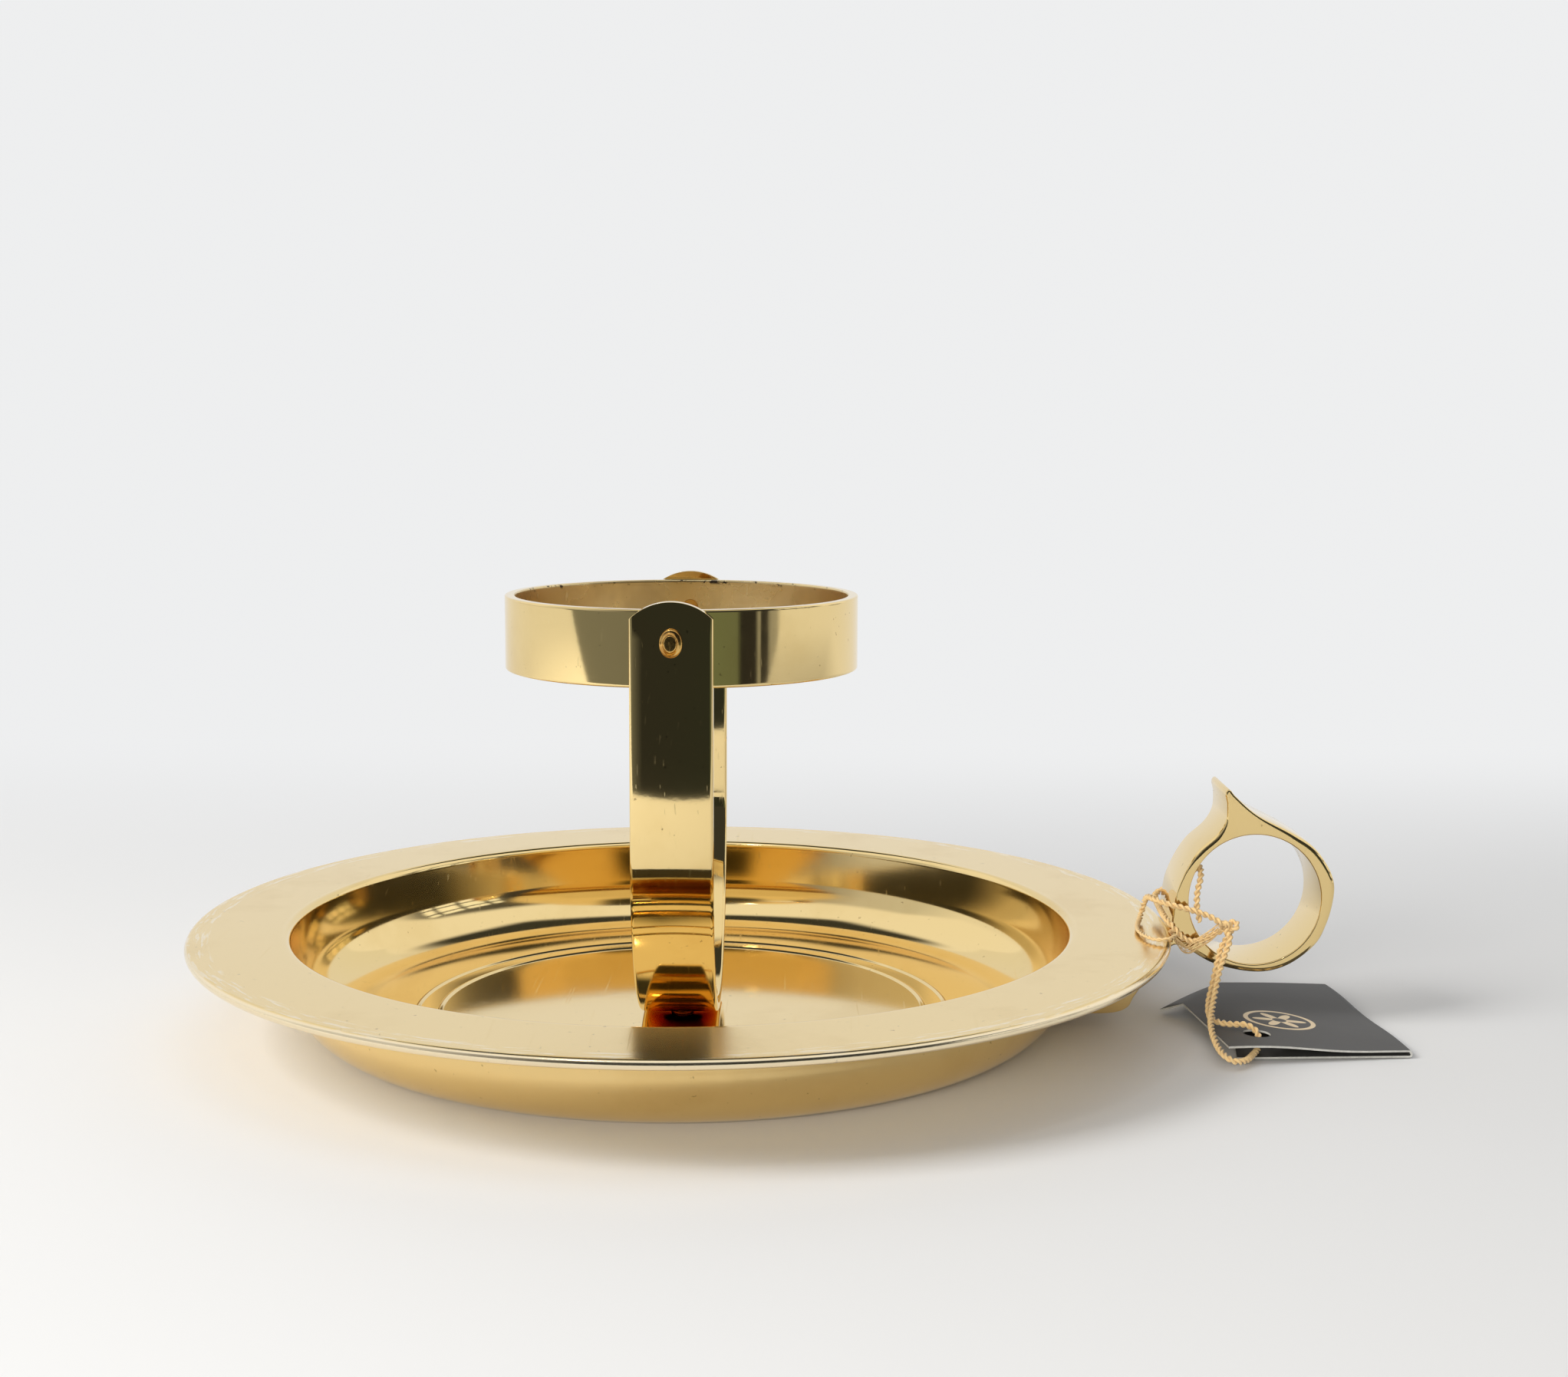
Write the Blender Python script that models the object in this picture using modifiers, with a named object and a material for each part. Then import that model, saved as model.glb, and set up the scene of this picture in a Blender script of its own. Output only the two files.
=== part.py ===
# Brass chamberstick: a dished tray with a flat rim, a finger ring at its edge, and a U-shaped strap that
# carries a short candle ring on two pivot pins. A folded card tag hangs from the finger ring on a string.
#
# Frame: metres, +Z up. The origin is the centre of the tray's underside, where it stands on the table.
# +X points to the finger ring. The strap stands in the YZ plane, so the candle ring turns about Y.

import math

import bmesh
import bpy
from mathutils import Matrix, Vector

# ---- driving dimensions ----
gap = 0.0003                    # between neighbours that touch on the real object
running_clearance = 0.0001      # pin in the candle ring

sheet = 0.0018                  # thickness of the spun tray
rim_radius = 0.092
rim_height = 0.01905            # table to the top of the rim
bowl_mouth_radius = 0.0731      # inside the bowl, just below the rim
base_radius = 0.062             # where the flat floor ends
base_corner_radius = 0.012      # outside, between base and wall
mouth_fillet = 0.0012           # bowl wall to the rim's top
floor_bead_radii = (0.0462, 0.0506)
floor_bead_width = 0.0010
floor_bead_height = 0.0003

ring_radius = 0.033             # candle ring, outside
ring_wall = 0.0019
ring_height = 0.0137
ring_rise = 0.0055              # top of the candle ring above its pivot
edge_break = 0.0004             # on turned edges

strap_width = 0.0146
strap_thickness = 0.0020
strap_gap = 0.00035             # candle ring to strap
strap_height = 0.0828           # table to the top of the legs
strap_end_radius = 0.0103       # arc across the top of a leg
pivot_drop = 0.0071             # top of a leg down to the pivot
strap_edge_radius = 0.0007

pin_radius = 0.0015
pin_head_width = 0.0040
pin_head_height = 0.0050        # the peened head is taller than wide
pin_head_depth = 0.0016

base_rivet_radius = 0.0020
base_rivet_head_radius = 0.0038
base_rivet_head_depth = 0.0016
countersink_radius = 0.0040
countersink_land = 0.0003       # straight part of the tray's hole above its countersink

finger_hole_radius = 0.01235
finger_wall = 0.0016            # thinnest wall, under the hole
finger_ring_width = 0.0150      # along Y
finger_hole_setback = 0.00315   # rim edge to the nearest edge of the hole
finger_hole_sink = 0.0065       # lowest edge of the hole below the top of the rim
finger_edge_radius = 0.0004

card = 0.0004                   # tag card
tag_hole_radius = 0.0021
string_diameter = 0.0011
knot_radius = 0.0019

# ---- derived places ----
strap_outer = ring_radius + strap_gap + strap_thickness
strap_inner = ring_radius + strap_gap
strap_bottom = sheet + gap
bend_height = strap_bottom + strap_outer
pivot_height = strap_height - pivot_drop
countersink_depth = sheet - countersink_land - gap
finger_hole = (rim_radius + finger_hole_setback + finger_hole_radius,
               rim_height - finger_hole_sink + finger_hole_radius)
rim_underside = rim_height - sheet

part_collection = bpy.data.collections.new("brass_chamberstick")
cutter_collection = bpy.data.collections.new("cutters")


# ---- helpers ----
def clear_scene():
    for obj in list(bpy.data.objects):
        bpy.data.objects.remove(obj, do_unlink=True)
    bpy.context.scene.collection.children.link(part_collection)
    bpy.context.scene.collection.children.link(cutter_collection)
    cutter_collection.hide_render = True


def finish(name, colour, roughness, metallic):
    material = bpy.data.materials.new(name)
    material.use_nodes = True
    shader = material.node_tree.nodes["Principled BSDF"]
    shader.inputs["Base Color"].default_value = (*colour, 1.0)
    shader.inputs["Roughness"].default_value = roughness
    shader.inputs["Metallic"].default_value = metallic
    return material


def add(name, data, material, collection=part_collection):
    obj = bpy.data.objects.new(name, data)
    collection.objects.link(obj)
    data.materials.append(material)
    return obj


def arc(centre, radius, start, end, steps):
    """Points on an arc; angles in degrees, both ends included."""
    angles = [math.radians(start + (end - start) * i / steps) for i in range(steps + 1)]
    return [(centre[0] + radius * math.cos(a), centre[1] + radius * math.sin(a)) for a in angles]


def turned(name, profile, material, steps=64, closed=True, collection=part_collection):
    """A body turned about Z. The profile holds (radius, height) points, top to bottom down the outside."""
    mesh = bpy.data.meshes.new(name)
    count = len(profile)
    edges = [(i, (i + 1) % count) for i in range(count if closed else count - 1)]
    mesh.from_pydata([(r, 0.0, z) for r, z in profile], edges, [])
    obj = add(name, mesh, material, collection)
    screw = obj.modifiers.new("turn", "SCREW")
    screw.steps = screw.render_steps = steps
    screw.use_merge_vertices = True
    screw.merge_threshold = 0.00001
    screw.use_smooth_shade = True
    return obj


def baked(obj):
    """The object with its modifiers, or its curve, made a real welded mesh."""
    graph = bpy.context.evaluated_depsgraph_get()
    mesh = bpy.data.meshes.new_from_object(obj.evaluated_get(graph))
    shape = bmesh.new()
    shape.from_mesh(mesh)
    bmesh.ops.remove_doubles(shape, verts=shape.verts, dist=0.000001)
    bmesh.ops.recalc_face_normals(shape, faces=shape.faces)
    shape.to_mesh(mesh)
    shape.free()
    solid = bpy.data.objects.new(obj.name + "_solid", mesh)
    solid.matrix_world = obj.matrix_world.copy()
    for collection in obj.users_collection:
        collection.objects.link(solid)
    name = obj.name
    bpy.data.objects.remove(obj, do_unlink=True)
    solid.name = name
    return solid


def plate(name, outlines, thickness, edge_radius, turn, material, collection=part_collection):
    """A flat plate cut to 2D outlines, the first one outside and the rest holes, turned into place."""
    curve = bpy.data.curves.new(name, "CURVE")
    curve.dimensions = "2D"
    curve.fill_mode = "BOTH"
    curve.extrude = thickness / 2 - edge_radius
    curve.bevel_depth = edge_radius
    curve.bevel_resolution = 1
    curve.offset = -edge_radius
    for outline in outlines:
        spline = curve.splines.new("POLY")
        spline.points.add(len(outline) - 1)
        for point, (x, y) in zip(spline.points, outline):
            point.co = (x, y, 0.0, 1.0)
        spline.use_cyclic_u = True
    obj = add(name, curve, material, collection)
    obj.matrix_world = turn
    bpy.context.view_layer.update()
    return baked(obj)


def smooth_outline(points, steps):
    """Points along a Catmull-Rom curve through the given points, ends included."""
    ends = [points[0], *points, points[-1]]
    found = []
    for before, start, end, after in zip(ends, ends[1:], ends[2:], ends[3:]):
        before, start, end, after = (Vector(p) for p in (before, start, end, after))
        for i in range(steps):
            t = i / steps
            found.append(tuple(0.5 * (2 * start + (end - before) * t
                                      + (2 * before - 5 * start + 4 * end - after) * t * t
                                      + (3 * start - before - 3 * end + after) * t ** 3)))
    return [*found, tuple(points[-1])]


def cylinder(name, radius, centre, axis, length, segments=32):
    mesh = bpy.data.meshes.new(name)
    shape = bmesh.new()
    bmesh.ops.create_cone(shape, cap_ends=True, segments=segments, radius1=radius, radius2=radius, depth=length)
    shape.to_mesh(mesh)
    shape.free()
    obj = add(name, mesh, cutter_finish, cutter_collection)
    obj.matrix_world = Matrix.Translation(centre) @ Vector(axis).to_track_quat("Z", "Y").to_matrix().to_4x4()
    return hidden(obj)


def hidden(obj):
    obj.hide_render = True
    obj.display_type = "WIRE"
    return obj


def boolean(obj, cutter, operation="DIFFERENCE"):
    modifier = obj.modifiers.new(cutter.name, "BOOLEAN")
    modifier.operation = operation
    modifier.object = cutter
    modifier.solver = "EXACT"


# Outlines drawn in (X, Z) stand upright along Y; those drawn in (Y, Z) stand across X.
stand_xz = Matrix.Rotation(math.radians(90), 4, "X")
stand_yz = Matrix(((0, 0, 1, 0), (1, 0, 0, 0), (0, 1, 0, 0), (0, 0, 0, 1)))

clear_scene()
tray_finish = finish("tray_brass", (0.80, 0.62, 0.32), 0.12, 1.0)
strap_finish = finish("strap_brass", (0.70, 0.53, 0.27), 0.10, 1.0)
ring_finish = finish("ring_brass", (0.74, 0.57, 0.30), 0.18, 1.0)
pin_finish = finish("pin_brass", (0.72, 0.52, 0.22), 0.25, 1.0)
handle_finish = finish("handle_brass", (0.80, 0.62, 0.30), 0.12, 1.0)
card_finish = finish("tag_card", (0.11, 0.11, 0.11), 0.75, 0.0)
string_finish = finish("tag_string", (0.62, 0.38, 0.12), 0.45, 0.0)
cutter_finish = finish("cutter", (0.9, 0.1, 0.1), 0.5, 0.0)


# ---- tray ----
def wall_outside(height):
    """Radius of the bowl's outside wall at a height: a corner arc, then a straight cone to the rim."""
    corner_z = base_corner_radius
    if height < corner_z:
        return base_radius + math.sqrt(base_corner_radius ** 2 - (corner_z - height) ** 2)
    top = bowl_mouth_radius + sheet
    bottom = base_radius + base_corner_radius
    return bottom + (top - bottom) * (height - corner_z) / (rim_height - corner_z)


def bead(radius):
    """A low round bead pressed up in the floor."""
    half = floor_bead_width / 2
    return [(radius - half, sheet), (radius, sheet + floor_bead_height), (radius + half, sheet)]


def tray_profile():
    hole = base_rivet_radius + gap
    corner = (base_radius, base_corner_radius)
    inner_top = rim_height - mouth_fillet
    mouth = (bowl_mouth_radius + mouth_fillet, inner_top)
    edge = (rim_radius - sheet / 2, rim_height - sheet / 2)
    throat = wall_outside(rim_underside)
    floor = [(hole, sheet)] + [point for radius in floor_bead_radii for point in bead(radius)]
    inside = arc(corner, base_corner_radius - sheet, -90, -8, 6) + arc(mouth, mouth_fillet, 180, 90, 2)
    rim_edge = arc(edge, sheet / 2, 90, -90, 4)
    outside = [(throat + mouth_fillet, rim_underside), (throat, rim_underside - mouth_fillet)]
    outside += [(wall_outside(base_corner_radius), base_corner_radius)] + arc(corner, base_corner_radius, -15, -90, 5)
    sink = [(countersink_radius + gap, 0.0), (hole, countersink_depth + gap)]
    return floor + inside + rim_edge + outside + sink


tray = turned("tray", tray_profile(), tray_finish, steps=64)


# ---- candle ring: its origin is on the pivot axis ----
def ring_profile():
    inner, outer = ring_radius - ring_wall, ring_radius
    top, bottom = ring_rise, ring_rise - ring_height
    b = edge_break
    return [(inner, top - b), (inner + b, top), (outer - b, top), (outer, top - b),
            (outer, bottom + b), (outer - b, bottom), (inner + b, bottom), (inner, bottom + b)]


candle_ring = turned("candle_ring", ring_profile(), ring_finish, steps=64)
candle_ring.location = (0.0, 0.0, pivot_height)
bpy.context.view_layer.update()
ring_bore = cylinder("ring_bore", pin_radius + running_clearance, (0, 0, pivot_height), (0, 1, 0),
                     4 * ring_radius, segments=48)
boolean(candle_ring, ring_bore)


# ---- strap: a bar bent to a U, its legs rounded at the top ----
def strap_outline():
    leg_top = strap_height + strap_end_radius
    bend = (0.0, bend_height)
    return ([(strap_outer, leg_top)] + arc(bend, strap_outer, 0, -180, 28) + [(-strap_outer, leg_top)]
            + [(-strap_inner, leg_top)] + arc(bend, strap_inner, -180, 0, 28) + [(strap_inner, leg_top)])


def leg_end_outline():
    half = strap_end_radius * 0.9
    start = math.degrees(math.acos(half / strap_end_radius))
    top_arc = arc((0.0, strap_height - strap_end_radius), strap_end_radius, start, 180 - start, 14)
    return top_arc + [(-half, -strap_width), (half, -strap_width)]


strap = plate("strap", [strap_outline()], strap_width, strap_edge_radius, stand_yz, strap_finish)
leg_end = plate("leg_end", [leg_end_outline()], 4 * strap_outer, 0.0, stand_xz, cutter_finish, cutter_collection)
boolean(strap, hidden(leg_end), "INTERSECT")
boolean(strap, cylinder("strap_pin_holes", pin_radius + gap, (0, 0, pivot_height), (0, 1, 0), 4 * strap_outer))
boolean(strap, cylinder("strap_rivet_hole", base_rivet_radius + gap, (0, 0, strap_bottom), (0, 0, 1),
                        4 * strap_thickness))


# ---- pivot pins: the head outside the strap, the end flush inside the candle ring ----
def pivot_pin(name, side):
    seat = strap_outer + gap
    end = ring_radius - ring_wall + 0.5 * gap
    head = pin_head_width / 2
    face = seat + pin_head_depth
    shoulder = 0.45 * pin_head_depth
    profile = [(0.0, face), (head - shoulder, face)]
    profile += arc((head - shoulder, face - shoulder), shoulder, 60, 0, 2)
    neck = seat - gap / 3
    profile += [(head, seat), (pin_radius, neck), (pin_radius, end), (0.0, end)]
    pin = baked(turned(name, profile, pin_finish, steps=24, closed=False))
    for vertex in pin.data.vertices:
        if vertex.co.z > (seat + neck) / 2:
            vertex.co.y *= pin_head_height / pin_head_width
    pin.rotation_euler = (math.radians(-90 * side), 0.0, 0.0)
    pin.location = (0.0, 0.0, pivot_height)
    return pin


pivot_pin("pivot_pin_front", -1)
pivot_pin("pivot_pin_back", 1)


# ---- rivet that holds the strap to the tray, its tail flush in the countersink ----
def base_rivet_profile():
    seat = strap_bottom + strap_thickness + 2 * gap
    dome = arc((0.0, seat), base_rivet_head_depth, 90, 0, 4)
    scale = base_rivet_head_radius / base_rivet_head_depth
    head = [(r * scale, z) for r, z in dome]
    return head + [(base_rivet_radius, seat), (base_rivet_radius, countersink_depth),
                   (countersink_radius, 0.0), (0.0, 0.0)]


strap_rivet = turned("strap_rivet", base_rivet_profile(), pin_finish, steps=24, closed=False)


# ---- finger ring: one cast profile, hooked under the rim and seated on the bowl's wall ----
def finger_ring_outline():
    """Clockwise from the tip of the thumb spike, in (X, Z). Each pair round the hole is an angle and a wall."""
    cx, cz = finger_hole

    def around(pairs):
        places = [(math.radians(angle), finger_hole_radius + wall) for angle, wall in pairs]
        return [(cx + reach * math.cos(angle), cz + reach * math.sin(angle)) for angle, reach in places]

    outer = [(104.9, 0.00948), (101.8, 0.00726), (90.4, 0.00375), (63.4, 0.00196), (43.6, 0.00229),
             (26.2, 0.00259), (12.2, 0.00279), (358.1, 0.00236), (340.6, 0.00207), (322.6, 0.00213),
             (296.7, 0.00187), (272.1, finger_wall), (239.9, 0.00199)]
    lobe = [(rim_radius + 0.0015, rim_underside - 0.00115), (rim_radius - 0.0008, rim_underside - 0.00275),
            (rim_radius - 0.0038, 0.0102), (rim_radius - 0.0066, 0.0062),
            (rim_radius - 0.0078, 0.0041), (rim_radius - 0.0106, 0.0030), (rim_radius - 0.0165, 0.0028)]
    seat_heights = [0.0032, 0.0060, 0.0090, 0.0120, rim_underside - 2 * mouth_fillet]
    seat = [(wall_outside(z) + 2 * gap, z) for z in seat_heights]
    slot = [(seat[-1][0] + mouth_fillet, rim_underside - gap), (rim_radius + gap, rim_underside - gap),
            (rim_radius + gap, rim_height + gap)]
    left = [(195.9, 0.00367), (183.8, 0.00268), (172.1, 0.00219), (156.5, 0.00171), (139.9, 0.00177),
            (121.0, 0.00200), (111.0, 0.00383), (107.3, 0.00682)]
    return smooth_outline(around(outer) + lobe, 3) + seat + slot + smooth_outline(around(left), 3)


hole_outline = arc(finger_hole, finger_hole_radius, 0, 360 - 7.5, 47)
finger_ring = plate("finger_ring", [finger_ring_outline(), hole_outline], finger_ring_width,
                    finger_edge_radius, stand_xz, handle_finish)


# ---- swing tag: one card folded along its right edge, its left corner curled down to the table ----
def swing_tag():
    """Its points are measured from the rim's edge, the string's hole among them."""
    lower = [(0.0090, -0.0275, 0.0004), (0.0405, -0.0245, 0.0004), (0.0362, 0.0205, 0.0004),
             (0.0150, 0.0165, 0.0004), (0.0020, 0.0010, 0.0004)]
    upper = [(0.0067, -0.0315, 0.0036), (0.0406, -0.0258, 0.0017), (0.0362, 0.0211, 0.0010),
             (0.0142, 0.0170, 0.0023), (0.0035, -0.0020, 0.0033)]
    curl = (0.0000, 0.0025, 0.0008)
    lower, upper, (curl,) = ([(rim_radius + x, y, z) for x, y, z in points] for points in (lower, upper, [curl]))
    shape = bmesh.new()
    low = [shape.verts.new(p) for p in lower]
    top = [shape.verts.new(p) for p in upper]
    corner = shape.verts.new(curl)
    shape.faces.new(low)
    shape.faces.new((low[2], low[1], top[1], top[2]))
    shape.faces.new(top[::-1])
    shape.faces.new((top[4], corner, top[3]))
    bmesh.ops.recalc_face_normals(shape, faces=shape.faces)
    mesh = bpy.data.meshes.new("swing_tag")
    shape.to_mesh(mesh)
    shape.free()
    tag = add("swing_tag", mesh, card_finish)
    wall = tag.modifiers.new("card", "SOLIDIFY")
    wall.thickness = card
    wall.offset = 0.0
    punch = cylinder("tag_punch", tag_hole_radius, (rim_radius + 0.0135, -0.0223, 0.0040), (0, 0, 1), 0.0040, segments=24)
    boolean(tag, punch)
    return tag


swing_tag()


# ---- string: three stretches that meet the knot ----
def string(name, route, per_span):
    """A round string through a hand-placed route, read from a smooth curve."""
    curve = bpy.data.curves.new(name, "CURVE")
    curve.dimensions = "3D"
    curve.bevel_depth = string_diameter / 2
    curve.bevel_resolution = 2
    curve.use_fill_caps = True
    points = smooth_outline(route, per_span)
    spline = curve.splines.new("POLY")
    spline.points.add(len(points) - 1)
    for point, place in zip(spline.points, points):
        point.co = (*place, 1.0)
    return add(name, curve, string_finish)


knot_place = (0.1024, -0.0097, 0.0201)
# From the knot down to the tag, through its hole from above, back out under the front edge and up again.
fall_route = [(0.1019, -0.0094, 0.0178), (0.1009, -0.0098, 0.0160), (0.1001, -0.0106, 0.0132),
              (0.0992, -0.0118, 0.0098), (0.0982, -0.0138, 0.0070), (0.0979, -0.0166, 0.0052),
              (0.0990, -0.0190, 0.0047), (0.1012, -0.0205, 0.0047), (0.1036, -0.0212, 0.0048),
              (0.1053, -0.0220, 0.0040), (0.1058, -0.0233, 0.0024), (0.1050, -0.0255, 0.0015),
              (0.1035, -0.0285, 0.0013), (0.1018, -0.0318, 0.0014), (0.0996, -0.0337, 0.0017),
              (0.0979, -0.0324, 0.0023), (0.0971, -0.0290, 0.0031), (0.0969, -0.0250, 0.0044),
              (0.0973, -0.0210, 0.0056), (0.0983, -0.0172, 0.0070), (0.0993, -0.0143, 0.0093),
              (0.1003, -0.0124, 0.0124), (0.1014, -0.0114, 0.0154), (0.1023, -0.0109, 0.0178)]
# From the knot across the front of the finger ring, round behind it and forward through the hole.
wrap_route = [(0.1001, -0.0094, 0.0190), (0.0980, -0.0092, 0.0178), (0.0957, -0.0090, 0.0173),
              (0.0939, -0.0090, 0.0180), (0.0924, -0.0090, 0.0196), (0.0912, -0.0080, 0.0209),
              (0.0908, -0.0055, 0.0214), (0.0908, -0.0010, 0.0217), (0.0909, 0.0040, 0.0221),
              (0.0913, 0.0072, 0.0226), (0.0930, 0.0087, 0.0232), (0.0952, 0.0086, 0.0238),
              (0.0967, 0.0070, 0.0247), (0.0968, 0.0035, 0.0266), (0.0971, -0.0004, 0.0290),
              (0.0976, -0.0040, 0.0304), (0.0975, -0.0062, 0.0290), (0.0968, -0.0069, 0.0262),
              (0.0968, -0.0070, 0.0232), (0.0974, -0.0069, 0.0205)]
# From the knot across the front, over itself beside the finger ring and down in a loop on the rim.
loop_route = [(0.1006, -0.0104, 0.0212), (0.0988, -0.0100, 0.0222), (0.0962, -0.0096, 0.0231),
              (0.0934, -0.0092, 0.0238), (0.0908, -0.0084, 0.0243), (0.0888, -0.0062, 0.0247),
              (0.0881, -0.0030, 0.0243), (0.0879, -0.0006, 0.0228), (0.0876, 0.0000, 0.0209),
              (0.0868, -0.0024, 0.0199), (0.0858, -0.0065, 0.0198), (0.0853, -0.0110, 0.0198),
              (0.0860, -0.0154, 0.0198), (0.0878, -0.0181, 0.0198), (0.0898, -0.0180, 0.0199),
              (0.0912, -0.0162, 0.0200)]

string("string_fall", fall_route, 2)
string("string_wrap", wrap_route, 2)
string("string_loop", loop_route, 2)


def string_knot():
    mesh = bpy.data.meshes.new("string_knot")
    shape = bmesh.new()
    bmesh.ops.create_uvsphere(shape, u_segments=16, v_segments=10, radius=knot_radius)
    shape.to_mesh(mesh)
    shape.free()
    knot = add("string_knot", mesh, string_finish)
    knot.location = knot_place
    return knot


string_knot()

for obj in part_collection.objects:
    if obj.type == "MESH":
        obj.data.shade_smooth()
        obj.data.set_sharp_from_angle(angle=math.radians(35))
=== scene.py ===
import math

import bmesh
import bpy
from mathutils import Matrix, Vector


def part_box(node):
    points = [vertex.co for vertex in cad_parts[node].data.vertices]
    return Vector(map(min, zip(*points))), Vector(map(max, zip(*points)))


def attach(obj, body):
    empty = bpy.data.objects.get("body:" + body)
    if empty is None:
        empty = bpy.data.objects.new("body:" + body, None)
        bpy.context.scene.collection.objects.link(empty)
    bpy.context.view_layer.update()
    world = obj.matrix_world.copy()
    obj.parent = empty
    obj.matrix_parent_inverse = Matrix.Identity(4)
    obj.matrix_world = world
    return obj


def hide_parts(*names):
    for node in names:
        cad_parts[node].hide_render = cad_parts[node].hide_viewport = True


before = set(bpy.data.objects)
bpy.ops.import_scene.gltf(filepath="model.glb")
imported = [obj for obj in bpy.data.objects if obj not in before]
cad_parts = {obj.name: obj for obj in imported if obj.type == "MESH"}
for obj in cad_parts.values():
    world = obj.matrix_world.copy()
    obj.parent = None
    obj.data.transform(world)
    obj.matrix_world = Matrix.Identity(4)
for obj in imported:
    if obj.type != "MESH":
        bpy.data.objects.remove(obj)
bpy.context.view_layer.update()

print("stage: frame loaded")

cameraView = {
    "place": (0.0224, -0.4135, 0.1176),
    "turn": 0.443, "tip": 90 - 7.478, "roll": 0.238,  # degrees
    "lens": 50.83, "sensor": 36.0,
}
studio = {
    "left": -1.6, "right": 1.6, "front": -0.30, "back": 1.0,
    "apronFront": -2.2, "sweep": 0.7, "sweepSteps": 24, "top": 1.6,
    "floorShade": (0.84, 0.845, 0.85), "floorPatch": 3.0,
    "backdropShade": (0.82, 0.825, 0.82),  # what the camera sees past the paper
    "paperGlow": 0.86,  # even light of the paper away from the tray
    "glowDepth": (0.02, 0.34), "glowRadius": (0.45, 0.80),  # it comes in over these distances, back and out
    "white": (0.97, 0.97, 0.98), "aboveBackdrop": (0.045, 0.048, 0.045),
    "diffuse": 0.36,  # share of the room's light that reaches matt surfaces
    "windowTurn": (0.683, 0.764), "windowRise": (0.05, 0.38), "pane": (0.16, 0.15), "glazingBar": 0.014,
    "horizon": -0.02, "ceilingSoft": 0.07,
    "hollowDepth": (0.05, 0.20), "hollowRise": (0.66, 0.76), "hollowSide": (0.48, 0.36),
    # what lies round the table, by azimuth in degrees (0 is the front, + to the right): below the table top,
    # above it, and the height where the bright ceiling begins
    "below": [(-180, (0.90, 0.90, 0.90)), (-78, (0.62, 0.62, 0.62)), (-73, (0.22, 0.23, 0.22)),
              (-17, (0.20, 0.21, 0.20)), (-13, (0.030, 0.032, 0.030)), (15, (0.028, 0.034, 0.030)),
              (19, (0.16, 0.20, 0.13)), (38, (0.15, 0.18, 0.12)), (41, (0.030, 0.030, 0.030)),
              (51.5, (0.030, 0.030, 0.030)), (53, (0.50, 0.52, 0.50)), (54.5, (0.030, 0.030, 0.030)),
              (59, (0.05, 0.05, 0.05)), (61, (0.34, 0.35, 0.35)), (66, (0.36, 0.37, 0.37)),
              (69, (0.84, 0.84, 0.82)), (111, (0.82, 0.82, 0.82)), (115, (0.22, 0.22, 0.20)),
              (124, (0.25, 0.25, 0.24)), (132, (0.90, 0.90, 0.90))],
    "above": [(-180, (0.93, 0.93, 0.93)), (-100, (0.90, 0.90, 0.91)), (-82, (0.66, 0.67, 0.68)),
              (-60, (0.62, 0.62, 0.63)), (-48, (0.42, 0.42, 0.42)), (-38, (0.26, 0.26, 0.26)),
              (-26, (0.12, 0.12, 0.12)), (-16, (0.045, 0.048, 0.050)), (60, (0.040, 0.042, 0.042)),
              (88, (0.18, 0.18, 0.18)), (97, (0.22, 0.22, 0.22)), (106, (0.90, 0.90, 0.90)),
              (180, (0.93, 0.93, 0.93))],
    "ceiling": [(-180, 0.05), (-100, 0.25), (-82, 0.55), (-40, 0.70), (-10, 0.78), (40, 0.70), (75, 0.56),
                (95, 0.42), (108, 0.10), (180, 0.05)],
}


def lookThrough(view):
    camera = bpy.data.objects.new("camera", bpy.data.cameras.new("camera"))
    bpy.context.scene.collection.objects.link(camera)
    camera.data.lens = view["lens"]
    camera.data.sensor_width = view["sensor"]
    camera.data.clip_start = 0.01
    turns = [Matrix.Rotation(math.radians(view[key]), 4, axis)
             for key, axis in (("turn", "Z"), ("tip", "X"), ("roll", "Z"))]
    camera.matrix_world = Matrix.Translation(view["place"]) @ turns[0] @ turns[1] @ turns[2]
    bpy.context.scene.camera = camera
    bpy.context.scene.view_settings.view_transform = "Standard"
    bpy.context.scene.cycles.max_bounces = 20  # light goes round the bowl many times
    bpy.context.scene.cycles.glossy_bounces = 16


lookThrough(cameraView)


def socket(tree, target, value):
    if isinstance(value, bpy.types.NodeSocket):
        tree.links.new(value, target)
    else:
        target.default_value = value


def addNode(tree, kind, inputs=None, **settings):
    node = tree.nodes.new("ShaderNode" + kind)
    for key, value in settings.items():
        setattr(node, key, value)
    for key, value in (inputs or {}).items():
        socket(tree, node.inputs[key], value)
    return node


def mathNode(tree, operation, *values):
    node = addNode(tree, "Math", operation=operation)
    for target, value in zip(node.inputs, values):
        socket(tree, target, value)
    return node.outputs[0]


def rampNode(tree, value, low, high):  # 0 at low, 1 at high, level past both
    return addNode(tree, "MapRange", {"Value": value, "From Min": low, "From Max": high},
                   interpolation_type="SMOOTHSTEP").outputs[0]


def times(tree, first, second):
    return mathNode(tree, "MULTIPLY", first, second)


def distanceNode(tree, u, v):
    return mathNode(tree, "SQRT", mathNode(tree, "ADD", times(tree, u, u), times(tree, v, v)))


def mixColour(tree, factor, first, second):
    node = addNode(tree, "Mix", data_type="RGBA")
    for target, value in ((node.inputs[0], factor), (node.inputs[6], first), (node.inputs[7], second)):
        if not isinstance(value, bpy.types.NodeSocket) and not isinstance(value, float):
            value = (*value, 1.0)
        socket(tree, target, value)
    return node.outputs[2]


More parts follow.
